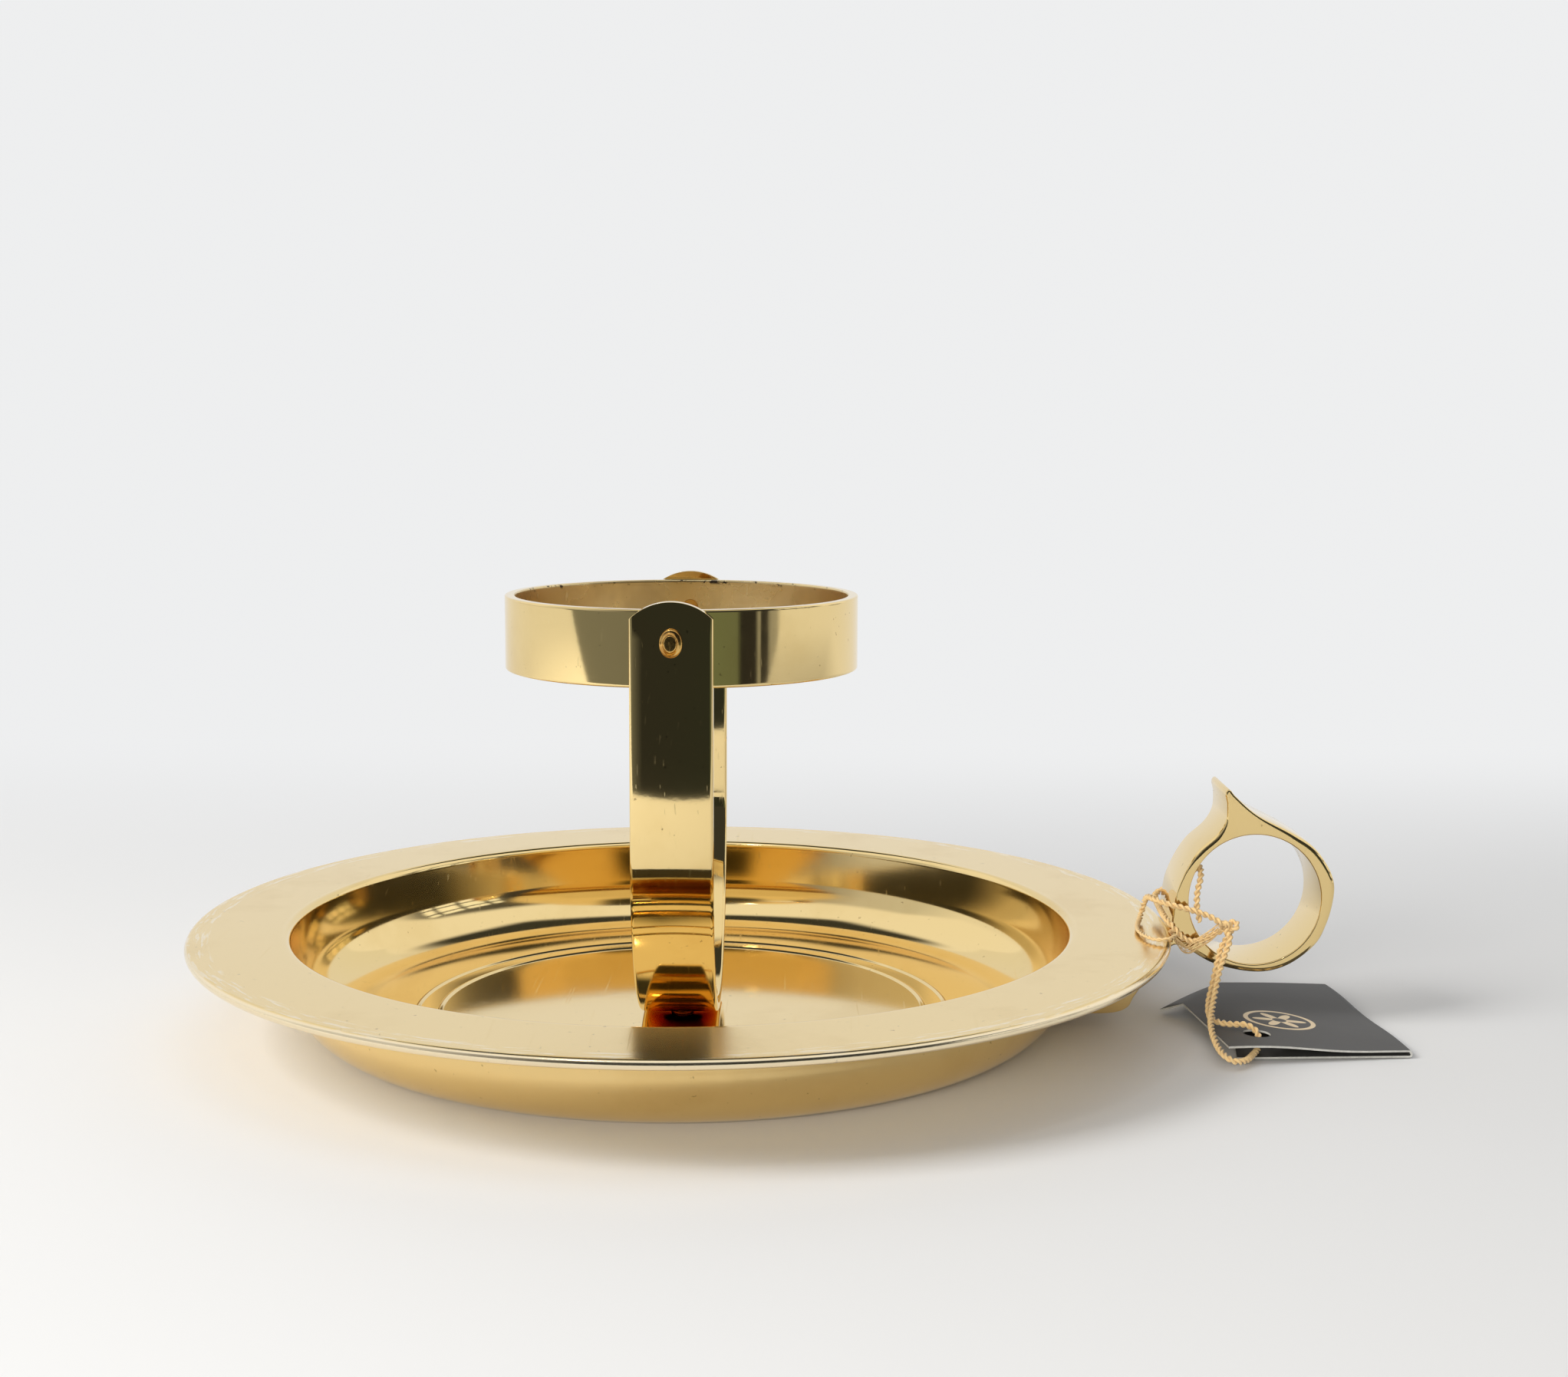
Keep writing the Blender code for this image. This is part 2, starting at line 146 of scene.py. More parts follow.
def mixNumber(tree, factor, first, second):
    node = addNode(tree, "Mix", data_type="FLOAT")
    for target, value in zip((node.inputs[0], node.inputs[2], node.inputs[3]), (factor, first, second)):
        socket(tree, target, value)
    return node.outputs[0]


def noiseNode(tree, place, scale, detail=2.0, roughness=0.5):
    return addNode(tree, "TexNoise", {"Vector": place, "Scale": scale, "Detail": detail,
                                      "Roughness": roughness}).outputs[0]


def stretched(tree, place, scale, turn=(0.0, 0.0, 0.0), shift=(0.0, 0.0, 0.0)):
    return addNode(tree, "Mapping", {"Vector": place, "Scale": scale, "Rotation": turn,
                                     "Location": shift}).outputs[0]


def newMaterial(name):
    material = bpy.data.materials.new(name)
    material.use_nodes = True
    tree = material.node_tree
    return material, tree, tree.nodes["Principled BSDF"]


def floorMaterial():
    material, tree, shader = newMaterial("studioPaper")
    place = addNode(tree, "TexCoord").outputs["Object"]
    patch = noiseNode(tree, place, studio["floorPatch"])
    shade = mixColour(tree, patch, studio["floorShade"], tuple(0.985 * c for c in studio["floorShade"]))
    socket(tree, shader.inputs["Base Color"], shade)
    shader.inputs["Roughness"].default_value = 0.85
    shader.inputs["Specular IOR Level"].default_value = 0.1
    side, depth = addNode(tree, "SeparateXYZ", {"Vector": place}).outputs[:2]
    glow = addNode(tree, "Emission", {"Color": (*studio["floorShade"], 1.0),
                                      "Strength": studio["paperGlow"] / studio["floorShade"][1]})
    far = mathNode(tree, "MAXIMUM", rampNode(tree, depth, *studio["glowDepth"]),
                   rampNode(tree, distanceNode(tree, side, depth), *studio["glowRadius"]))
    mixed = addNode(tree, "MixShader", {0: far, 1: shader.outputs[0], 2: glow.outputs[0]})
    socket(tree, tree.nodes["Material Output"].inputs["Surface"], mixed.outputs[0])
    return material


def editAll():
    bpy.ops.object.mode_set(mode="EDIT")
    bpy.ops.mesh.select_all(action="SELECT")


def extruded(move):  # edit mode: what is selected, drawn out by the move
    bpy.ops.mesh.extrude_region_move(TRANSFORM_OT_translate={"value": move})


def paperRoll(name, line, material):  # a wide sheet of paper along the (y, z) line
    bpy.ops.object.select_all(action="DESELECT")
    bpy.ops.mesh.primitive_plane_add(size=0.001)
    roll = bpy.context.object
    roll.name = name
    editAll()
    bpy.ops.mesh.merge(type="CENTER")
    bpy.ops.transform.translate(value=(studio["left"], *line[0]))
    extruded((studio["right"] - studio["left"], 0, 0))
    bpy.ops.mesh.select_all(action="SELECT")
    for start, end in zip(line, line[1:]):
        extruded((0.0, end[0] - start[0], end[1] - start[1]))
    bpy.ops.object.mode_set(mode="OBJECT")
    bpy.ops.object.shade_smooth()
    roll.data.materials.append(material)
    return roll


def layPaper(paper):  # level, then a quarter turn up to the backdrop
    line = [(studio["front"], 0.0), (0.3, 0.0)]
    line += [(studio["back"] + studio["sweep"] * math.sin(a), studio["sweep"] * (1 - math.cos(a)))
             for a in (math.pi / 2 * i / studio["sweepSteps"] for i in range(studio["sweepSteps"] + 1))]
    line += [(studio["back"] + studio["sweep"], studio["top"])]
    paperRoll("studioFloor", line, paper)
    apron = paperRoll("studioApron", [(studio["apronFront"], 0.0), (studio["front"], 0.0)], paper)
    apron.visible_glossy = False  # the room in front of the table is dark
    apron.visible_diffuse = False


layPaper(floorMaterial())


def between(tree, value, low, high, soft):  # 1 from low to high, with soft ends
    rising = rampNode(tree, value, low - soft, low + soft)
    falling = rampNode(tree, value, high + soft, high - soft)
    return times(tree, rising, falling)


def bandNode(tree, turn, stops):  # a colour for each azimuth
    node = tree.nodes.new("ShaderNodeValToRGB")
    socket(tree, node.inputs[0], turn)
    while len(node.color_ramp.elements) < len(stops):
        node.color_ramp.elements.new(1.0)
    for element, (azimuth, shade) in zip(node.color_ramp.elements, stops):
        element.position = (azimuth + 180) / 360
        element.color = (*shade, 1.0) if isinstance(shade, tuple) else (shade, shade, shade, 1.0)
    return node.outputs[0]


def roomWorld():  # what the brass reflects, by direction
    world = bpy.data.worlds.new("studioRoom")
    bpy.context.scene.world = world
    world.use_nodes = True
    world.cycles.sampling_method = "NONE"  # so that the share for matt surfaces holds
    tree = world.node_tree
    background = tree.nodes["Background"]
    towards = addNode(tree, "TexCoord").outputs["Generated"]
    side, depth, rise = addNode(tree, "SeparateXYZ", {"Vector": towards}).outputs
    turn = mathNode(tree, "ARCTAN2", side, times(tree, depth, -1.0))
    turn = mathNode(tree, "ADD", mathNode(tree, "DIVIDE", turn, 2 * math.pi), 0.5)
    low, high = (bandNode(tree, turn, studio[key]) for key in ("below", "above"))
    room = mixColour(tree, rampNode(tree, rise, studio["horizon"], 0.0), low, high)
    width, height = studio["pane"]
    glass = addNode(tree, "CombineXYZ", {"X": depth, "Y": rise}).outputs[0]
    panes = addNode(tree, "TexBrick", {"Vector": glass, "Color1": (1.2, 1.2, 1.2, 1),
                                       "Color2": (1.1, 1.15, 1.15, 1), "Mortar": (0.03, 0.03, 0.03, 1),
                                       "Mortar Size": studio["glazingBar"],
                                       "Brick Width": width, "Row Height": height, "Scale": 1.0},
                    offset=0.0).outputs[0]
    window = times(tree, between(tree, turn, *studio["windowTurn"], 0.002),
                   between(tree, rise, *studio["windowRise"], 0.01))
    room = mixColour(tree, window, room, panes)
    line = addNode(tree, "SeparateColor", {"Color": bandNode(tree, turn, studio["ceiling"])}).outputs[0]
    soft = studio["ceilingSoft"]
    bright = rampNode(tree, mathNode(tree, "SUBTRACT", rise, line), -soft, soft)
    room = mixColour(tree, bright, room, studio["white"])
    hollow = times(tree, rampNode(tree, depth, *studio["hollowDepth"]),
                   rampNode(tree, rise, *studio["hollowRise"]))
    inside = rampNode(tree, mathNode(tree, "ABSOLUTE", side), *studio["hollowSide"])
    hollow = times(tree, hollow, inside)
    room = mixColour(tree, hollow, room, studio["aboveBackdrop"])
    paths = addNode(tree, "LightPath").outputs
    seen = mixColour(tree, paths["Is Camera Ray"], room, studio["backdropShade"])
    share = mixNumber(tree, paths["Is Diffuse Ray"], 1.0, studio["diffuse"])
    socket(tree, background.inputs["Color"], seen)
    socket(tree, background.inputs["Strength"], share)


roomWorld()

lamps = {  # place, aim, width, height, power, colour, seen in the brass
    "keyLight": ((-0.80, -0.35, 0.72), (0.0, 0.0, 0.03), 0.45, 0.45, 8.0, (1.0, 0.985, 0.96), False),
    "frontFill": ((-0.25, -0.95, 0.27), (0.0, 0.0, 0.0), 0.8, 0.30, 8.0, (1.0, 0.96, 0.89), False),
    "topLight": ((0.05, 0.10, 1.30), (0.0, 0.0, 0.03), 0.9, 0.7, 1.6, (1.0, 1.0, 1.0), False),
    "glint": ((-0.33, -0.54, 1.15), (0.0, 0.0, 0.03), 0.06, 0.06, 0.4, (1.0, 0.99, 0.97), True),
}


def hangLamps(lamps):
    for name, (place, aim, width, height, power, colour, seen) in lamps.items():
        light = bpy.data.lights.new(name, "AREA")
        light.shape = "RECTANGLE"
        light.size, light.size_y, light.energy, light.color = width, height, power, colour
        lamp = bpy.data.objects.new(name, light)
        lamp.visible_glossy = seen
        bpy.context.scene.collection.objects.link(lamp)
        toAim = Vector(aim) - Vector(place)
        lamp.matrix_world = Matrix.Translation(place) @ toAim.to_track_quat("-Z", "Y").to_matrix().to_4x4()


hangLamps(lamps)
print("stage: camera and light placed")


def deselectAll():
    if bpy.context.mode != "OBJECT":
        bpy.ops.object.mode_set(mode="OBJECT")
    bpy.ops.object.select_all(action="DESELECT")


def onlyPiece(piece):
    deselectAll()
    piece.select_set(True)
    bpy.context.view_layer.objects.active = piece


def pickVertices(piece, test):  # edit mode: select the vertices where test(place) holds
    shape = bmesh.from_edit_mesh(piece.data)
    bpy.ops.mesh.select_all(action="DESELECT")
    for vertex in shape.verts:
        vertex.select_set(bool(test(vertex.co)))
    shape.select_flush(True)
    shape.select_flush_mode()
    bmesh.update_edit_mesh(piece.data)


def drawChain(name, points, closed=False):  # one vertex extruded along the points
    deselectAll()
    bpy.ops.mesh.primitive_plane_add(size=0.001, location=(0.0, 0.0, 0.0))
    piece = bpy.context.object
    piece.name = piece.data.name = name
    editAll()
    bpy.ops.mesh.merge(type="CENTER")
    bpy.ops.transform.translate(value=Vector(points[0]))
    for start, end in zip(points, points[1:]):
        extruded(Vector(end) - Vector(start))
    if closed:
        ends = (Vector(points[0]), Vector(points[-1]))
        pickVertices(piece, lambda place: min((place - end).length for end in ends) < 1e-7)
        bpy.ops.mesh.edge_face_add()
    bpy.ops.mesh.select_all(action="SELECT")
    return piece


def closeShell():  # edit mode: weld, then face outwards
    bpy.ops.mesh.select_all(action="SELECT")
    bpy.ops.mesh.remove_doubles(threshold=1e-6)
    bpy.ops.mesh.normals_make_consistent(inside=False)
    bpy.ops.object.mode_set(mode="OBJECT")


def applied(piece, kind, **settings):
    onlyPiece(piece)
    modifier = piece.modifiers.new(kind.lower(), kind)
    for key, value in settings.items():
        setattr(modifier, key, value)
    bpy.ops.object.modifier_apply(modifier=modifier.name)


def cutWith(piece, cutter, operation="DIFFERENCE"):  # the cutter is used up
    applied(piece, "BOOLEAN", operation=operation, solver="EXACT", object=cutter)
    bpy.data.objects.remove(cutter, do_unlink=True)


def smoothed(piece, angle):
    onlyPiece(piece)
    bpy.ops.object.shade_smooth_by_angle(angle=math.radians(angle))


def arcPoints(centre, radius, start, end, steps):
    angles = [math.radians(start + (end - start) * i / steps) for i in range(steps + 1)]
    return [(centre[0] + radius * math.cos(a), centre[1] + radius * math.sin(a)) for a in angles]


def supported(points, reach):  # a point near each end of a long straight run
    found = []
    for start, end in zip(points, points[1:] + points[:1]):
        found.append(start)
        length = math.dist(start, end)
        if length > 4 * reach:
            for share in (reach / length, 1 - reach / length):
                found.append(tuple(a + (b - a) * share for a, b in zip(start, end)))
    return found


# The profile's (radius, height) pairs are turned about the axis; aside puts a pair into the profile's plane.
def spun(name, profile, steps, closed=True, centre=(0.0, 0.0, 0.0), axis=(0.0, 0.0, 1.0), aside=None):
    aside = aside or (lambda r, z: (r, 0.0, z))
    piece = drawChain(name, [aside(r, z) for r, z in profile], closed)
    bpy.ops.mesh.spin(steps=steps, angle=2 * math.pi, center=centre, axis=axis)
    closeShell()
    return piece


def throughPoints(points, steps):  # a smooth curve through the points
    places = [Vector(p) for p in points]
    places = [places[0], *places, places[-1]]
    found = []
    for before, start, end, after in zip(places, places[1:], places[2:], places[3:]):
        for i in range(steps):
            t = i / steps
            found.append(0.5 * (2 * start + (end - before) * t
                                + (2 * before - 5 * start + 4 * end - after) * t * t
                                + (3 * start - before - 3 * end + after) * t ** 3))
    return [*found, places[-1]]


def wear(piece, material, body, node):
    piece.data.materials.clear()
    piece.data.materials.append(material)
    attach(piece, body)
    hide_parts(node)


# Polished brass: patches of tarnish, fine grain, scratches, rubbed areas, and a worn edge with a painted
# highlight along it.
def brass(name, look):
    material, tree, shader = newMaterial(name)
    place = addNode(tree, "TexCoord").outputs["Object"]
    x, y, z = addNode(tree, "SeparateXYZ", {"Vector": place}).outputs
    radius = distanceNode(tree, x, y)
    patches = noiseNode(tree, place, look["patchScale"], 4.0, 0.6)
    tarnish = rampNode(tree, patches, look["patchLow"], look["patchHigh"])
    colour = mixColour(tree, times(tree, tarnish, look["tarnish"]), look["bright"], look["dull"])
    turned = addNode(tree, "CombineXYZ", {"X": radius, "Y": 0.0, "Z": z}).outputs[0]
    grain = noiseNode(tree, turned if look["grain"] == "turned" else place, look["grainScale"], 3.0, 0.6)
    specks = rampNode(tree, noiseNode(tree, place, look["speckScale"], 2.0, 0.6), *look["speckRamp"])
    colour = mixColour(tree, times(tree, specks, look["specks"]), colour, look["speckShade"])
    scratches = []
    for turn, shift in look["scratchTurns"]:
        turn = tuple(math.radians(a) for a in turn)
        lines = stretched(tree, place, look["scratchStretch"], turn, (shift, shift, shift))
        lines = noiseNode(tree, lines, 1.0, 1.0)
        scratches.append(rampNode(tree, lines, look["scratchLow"], look["scratchLow"] + 0.03))
    scratch = scratches[0]
    for other in scratches[1:]:
        scratch = mathNode(tree, "MAXIMUM", scratch, other)
    rub = noiseNode(tree, place, look["rubScale"], 3.0, 0.7)
    rub = rampNode(tree, rub, look["rubLow"], look["rubLow"] + 0.12)
    rough = mixNumber(tree, rub, look["rough"], look["rubRough"])
    rough = mathNode(tree, "ADD", rough, times(tree, tarnish, look["tarnishRough"]))
    rough = mathNode(tree, "ADD", rough, times(tree, scratch, look["scratchRough"]))
    if look.get("satinFrom"):  # the flat rim is brushed, the bowl is bright
        satin = rampNode(tree, radius, look["satinFrom"], look["satinFrom"] + 0.0006)
        rough = mathNode(tree, "ADD", rough, times(tree, satin, look["satinRough"]))
    rough = mathNode(tree, "MAXIMUM", rough, 0.02)
    if look.get("wearAndHighlightFrom"):  # the outer edge: streaks rubbed white, and a painted highlight that makes the very edge paler all round
        wearAndHighlight = rampNode(tree, radius, look["wearAndHighlightFrom"], look["wearAndHighlightFrom"] + 0.0008)
        across, around = look["streakScale"]  # long round the rim, short across it
        angle = times(tree, mathNode(tree, "ARCTAN2", y, x), around)
        polar = addNode(tree, "CombineXYZ", {"X": times(tree, radius, across), "Y": angle}).outputs[0]
        streaks = rampNode(tree, noiseNode(tree, polar, 1.0, 3.0, 0.7), 0.52, 0.62)
        # painted highlight: the outermost edge is made paler all the way round, on top of the worn streaks
        streaks = mathNode(tree, "MAXIMUM", streaks, rampNode(tree, radius, *look["paintedEdgeHighlight"]))
        wearAndHighlight = times(tree, wearAndHighlight, streaks)
        colour = mixColour(tree, times(tree, wearAndHighlight, look["wearAndHighlight"]), colour, look["wearAndHighlightShade"])
    if look.get("chipsAbove"):  # dark chips along the top edge
        chips = rampNode(tree, noiseNode(tree, place, look["chipScale"], 3.0, 0.6), 0.58, 0.62)
        upper = rampNode(tree, z, look["chipsAbove"], look["chipsAbove"] + 0.0005)
        chips = times(tree, chips, upper)
        colour = mixColour(tree, chips, colour, look["speckShade"])
    socket(tree, shader.inputs["Base Color"], colour)
    shader.inputs["Metallic"].default_value = 1.0
    socket(tree, shader.inputs["Roughness"], rough)
    first = addNode(tree, "Bump", {"Height": grain, "Strength": look["grainBump"], "Distance": 0.00002})
    second = addNode(tree, "Bump", {"Height": scratch, "Strength": look["scratchBump"], "Distance": 0.00001,
                                    "Normal": first.outputs[0]}, invert=True)
    wave = noiseNode(tree, place, look["waveScale"], 1.0)
    third = addNode(tree, "Bump", {"Height": wave, "Strength": look["waveBump"], "Distance": 0.0001,
                                   "Normal": second.outputs[0]})
    socket(tree, shader.inputs["Normal"], third.outputs[0])
    return material


plainBrass = {
    "bright": (0.88, 0.675, 0.32), "dull": (0.74, 0.52, 0.20),
    "patchScale": 45.0, "patchLow": 0.50, "patchHigh": 0.72, "tarnish": 0.30, "tarnishRough": 0.02,
    "grain": "cast", "grainScale": 500.0, "grainBump": 0.10,
    "specks": 0.5, "speckShade": (0.25, 0.16, 0.06), "speckScale": 900.0, "speckRamp": (0.70, 0.76),
    "scratchTurns": (((0, 0, 20), 0.0), ((0, 0, -55), 3.0)), "scratchStretch": (1500.0, 40.0, 300.0),
    "scratchLow": 0.73, "scratchRough": 0.06, "scratchBump": 0.10,
    "rough": 0.055, "rubScale": 60.0, "rubLow": 0.60, "rubRough": 0.08,
    "waveScale": 40.0, "waveBump": 0.05,
}

trayHigh = Vector(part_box("tray")[1])
tray = {
    "sheet": 0.0018, "rim": trayHigh.x, "rimTop": trayHigh.z, "mouth": 0.0731, "mouthFillet": 0.0012,
    "base": 0.062, "corner": 0.012, "hole": 0.0023, "sink": 0.0043, "sinkDepth": 0.0015,
    "beads": (0.0462, 0.0506), "beadWidth": 0.0011, "beadHeight": 0.00028, "steps": 288,
    "look": {**plainBrass, "grain": "turned", "grainScale": 700.0, "grainBump": 0.06, "waveBump": 0.03,
             # worn white streaks near the rim's edge, and a painted highlight along the edge itself
             "satinFrom": 0.0745, "satinRough": 0.09, "wearAndHighlightFrom": 0.0875, "wearAndHighlight": 0.42,
             "wearAndHighlightShade": (0.97, 0.93, 0.84), "streakScale": (1100.0, 9.0), "paintedEdgeHighlight": (0.0914, 0.0918),
             "rough": 0.085, "rubRough": 0.11, "scratchTurns": (((0, 0, 78), 0.0), ((0, 0, 60), 3.0))},
}


def trayProfile(t):  # from the rivet hole: floor, wall, rim, underside
    top, edge = t["rimTop"], t["sheet"] / 2
    floor = [(t["hole"], t["sheet"])]
    for bead in t["beads"]:
        floor += [(bead + t["beadWidth"] * (i / 6 - 0.5),
                   t["sheet"] + t["beadHeight"] * math.sin(math.pi * i / 6) ** 2) for i in range(7)]
    inner = t["corner"] - t["sheet"]
    wall = arcPoints((t["base"], t["corner"]), inner, -90, -8, 28)
    mouth = (t["mouth"] + t["mouthFillet"], top - t["mouthFillet"])
    lip = arcPoints(mouth, t["mouthFillet"], 180, 90, 8)
    rim = arcPoints((t["rim"] - edge, top - edge), edge, 90, -90, 12)
    throat = t["mouth"] + t["sheet"]
    fillet, lower = t["mouthFillet"], top - t["sheet"]
    under = [(throat + fillet * (1 - math.sin(a)), lower - fillet * (1 - math.cos(a)))
             for a in (math.radians(15 * i) for i in range(7))]
    outside = arcPoints((t["base"], t["corner"]), t["corner"], -5, -90, 28)
    sink = [(t["sink"], 0.0), (t["hole"], t["sinkDepth"])]
    return supported(floor + wall + lip + rim + under + outside + sink, 0.00025)


def makeTray(t):
    shell = spun("traySpun", trayProfile(t), t["steps"])
    smoothed(shell, 40.0)
    wear(shell, brass("trayBrass", t["look"]), "stand", "tray")


makeTray(tray)
print("stage: tray spun")

candleRing = {
    "radius": 0.033, "wall": 0.0019, "rise": 0.0055, "height": 0.0137, "edge": 0.0003,
    "pivot": 0.0757, "boreRadius": 0.0016, "steps": 192,
    "look": {**plainBrass, "rubLow": 0.54, "grainBump": 0.06},
    "insideLook": {**plainBrass, "bright": (0.80, 0.63, 0.33), "dull": (0.52, 0.37, 0.18), "tarnish": 0.45,
                   "patchHigh": 0.68, "chipsAbove": 0.0802, "chipScale": 300.0,
                   "speckShade": (0.10, 0.075, 0.05), "grain": "turned", "grainScale": 1500.0,
                   "grainBump": 0.4, "rough": 0.27, "rubRough": 0.32},
}


def makeCandleRing(c):
    inner, outer = c["radius"] - c["wall"], c["radius"]
    top, bottom = c["pivot"] + c["rise"], c["pivot"] + c["rise"] - c["height"]
    edge = c["edge"]
    corners = [((inner + edge, top - edge), 180, 90), ((outer - edge, top - edge), 90, 0),
               ((outer - edge, bottom + edge), 0, -90), ((inner + edge, bottom + edge), -90, -180)]
    profile = [point for centre, start, end in corners for point in arcPoints(centre, edge, start, end, 4)]
    band = spun("candleRingBand", supported(profile, 0.0003), c["steps"])
    deselectAll()
    bpy.ops.mesh.primitive_cylinder_add(vertices=48, radius=c["boreRadius"], depth=4 * outer,
                                        location=(0.0, 0.0, c["pivot"]), rotation=(math.pi / 2, 0.0, 0.0))
    cutWith(band, bpy.context.object)
    smoothed(band, 40.0)
    wear(band, brass("ringBrass", c["look"]), "cup_ring", "candle_ring")
    band.data.materials.append(brass("ringInsideBrass", c["insideLook"]))
    for face in band.data.polygons:
        if math.hypot(face.center.x, face.center.y) < inner + 0.5 * edge:
            face.material_index = 1


makeCandleRing(candleRing)
print("stage: candle ring turned")

strap = {
    "width": 0.0146, "thickness": 0.0020, "inner": 0.03335, "bottom": 0.0021, "height": 0.0828,
    "endRadius": 0.0103, "endTurn": 11.5, "endShare": 0.98, "corner": 0.0006, "endBevel": 0.00035,
    "legRows": 10, "bendSteps": 56,
    "look": {**plainBrass, "rough": 0.035, "rubRough": 0.06, "grainBump": 0.05, "waveBump": 0.06,
             "scratchLow": 0.71, "specks": 0.7},
}


def makeStrap(s):
    outer = s["inner"] + s["thickness"]
    bendHeight = s["bottom"] + outer
    reach = s["height"] + s["endRadius"] - bendHeight  # the legs start long and are cut round afterwards
    middle = Vector((0.0, -(s["inner"] + outer) / 2, bendHeight + reach))
    deselectAll()
    bpy.ops.mesh.primitive_plane_add(size=1.0, location=middle)
    bar = bpy.context.object
    bar.name = bar.data.name = "strapBar"
    bpy.ops.object.transform_apply(location=True, rotation=True, scale=True)
    editAll()
    bpy.ops.transform.resize(value=(s["width"], s["thickness"], 1.0), center_override=middle)
    bpy.ops.mesh.bevel(offset=s["corner"], segments=4, affect="VERTICES")
    bpy.ops.mesh.select_all(action="SELECT")
    for _ in range(s["legRows"]):
        extruded((0.0, 0.0, -reach / s["legRows"]))
    bpy.ops.mesh.spin(steps=s["bendSteps"], angle=-math.pi, center=(0.0, 0.0, bendHeight),
                      axis=(1.0, 0.0, 0.0))
    for _ in range(s["legRows"]):
        extruded((0.0, 0.0, reach / s["legRows"]))
    closeShell()
    half = s["endRadius"] * s["endShare"]  # a prism with a round top trims both legs
    top = arcPoints((0.0, s["height"] - s["endRadius"]), s["endRadius"], s["endTurn"], 180 - s["endTurn"], 64)
    outline = [(x, -2 * outer, z) for x, z in top + [(-half, -outer), (half, -outer)]]
    former = drawChain("strapFormer", outline, closed=True)
    bpy.ops.mesh.select_all(action="SELECT")
    bpy.ops.mesh.edge_face_add()
    extruded((0.0, 4 * outer, 0.0))
    closeShell()
    cutWith(bar, former, "INTERSECT")
    smoothed(bar, 30.0)
    applied(bar, "BEVEL", width=s["endBevel"], segments=3, limit_method="ANGLE", angle_limit=math.radians(50),
            harden_normals=True)
    wear(bar, brass("strapBrass", s["look"]), "stand", "strap")


makeStrap(strap)
print("stage: strap bent")

rivets = {
    "height": 0.0757, "seat": 0.03565, "shank": 0.0015, "end": 0.03125, "headWidth": 0.0040,
    "headHeight": 0.0050, "headDepth": 0.0016, "stubShare": 0.62, "steps": 48,
    "baseSeat": 0.0047, "baseHead": 0.0038, "baseDome": 0.0016, "baseShank": 0.0020,
    "look": {**plainBrass, "bright": (0.74, 0.47, 0.15), "dull": (0.40, 0.20, 0.05), "tarnish": 0.8,
             "patchScale": 500.0, "patchLow": 0.42, "patchHigh": 0.60, "rough": 0.14, "grainBump": 0.3,
             "waveScale": 700.0, "waveBump": 0.5},
}


def makePivotRivet(name, node, side, r, material):
    head, face = r["headWidth"] / 2, r["seat"] + r["headDepth"]
    stub = r["stubShare"] * head  # a shoulder, then the smaller hammered face
    shoulder = arcPoints((head - 0.0004, r["seat"] + 0.00055), 0.0004, 0, 80, 5)
    rise = [(stub + 0.00028, face - 0.00055), (stub + 0.00006, face - 0.0002)]
    rise += arcPoints((stub - 0.0002, face - 0.0002), 0.0002, 0, 90, 4)
    profile = [(0.0, r["end"]), (r["shank"], r["end"]), (r["shank"], r["seat"] - 0.0001),
               (head - 0.0002, r["seat"]), (head, r["seat"] + 0.0003)]
    profile += shoulder[1:] + rise + [(0.55 * stub, face + 0.00003), (0.0, face)]
    centre = (0.0, 0.0, r["height"])
    pin = spun(name, profile, r["steps"], closed=False, centre=centre, axis=(0.0, 1.0, 0.0),
               aside=lambda radius, out: (radius, side * min(out, face), r["height"]))
    bpy.ops.object.mode_set(mode="EDIT")
    pickVertices(pin, lambda place: abs(place.y) > r["seat"] - 0.00005)
    bpy.ops.transform.resize(value=(1.0, 1.0, r["headHeight"] / r["headWidth"]), center_override=centre)
    pickVertices(pin, lambda place: abs(place.y) > r["seat"] + 0.001 and place.x > 0)
    bpy.ops.transform.resize(value=(0.86, 1.0, 0.96), center_override=centre)
    bpy.ops.object.mode_set(mode="OBJECT")
    smoothed(pin, 50.0)
    wear(pin, material, "stand", node)


def makeBaseRivet(name, r, material):
    dome = [(r["baseHead"] * math.sin(a), r["baseSeat"] + r["baseDome"] * math.cos(a))
            for a in (math.radians(9 * i) for i in range(11))]
    profile = dome + [(r["baseShank"], r["baseSeat"]), (r["baseShank"], 0.0012), (0.0040, 0.0), (0.0, 0.0)]
    pin = spun(name, profile, r["steps"], closed=False)
    smoothed(pin, 40.0)
    wear(pin, material, "stand", "strap_rivet")


rivetBrass = brass("rivetBrass", rivets["look"])
makePivotRivet("pivotRivetFront", "pivot_pin_front", -1, rivets, rivetBrass)
makePivotRivet("pivotRivetBack", "pivot_pin_back", 1, rivets, rivetBrass)
makeBaseRivet("strapRivetHead", rivets, rivetBrass)
print("stage: rivets set")

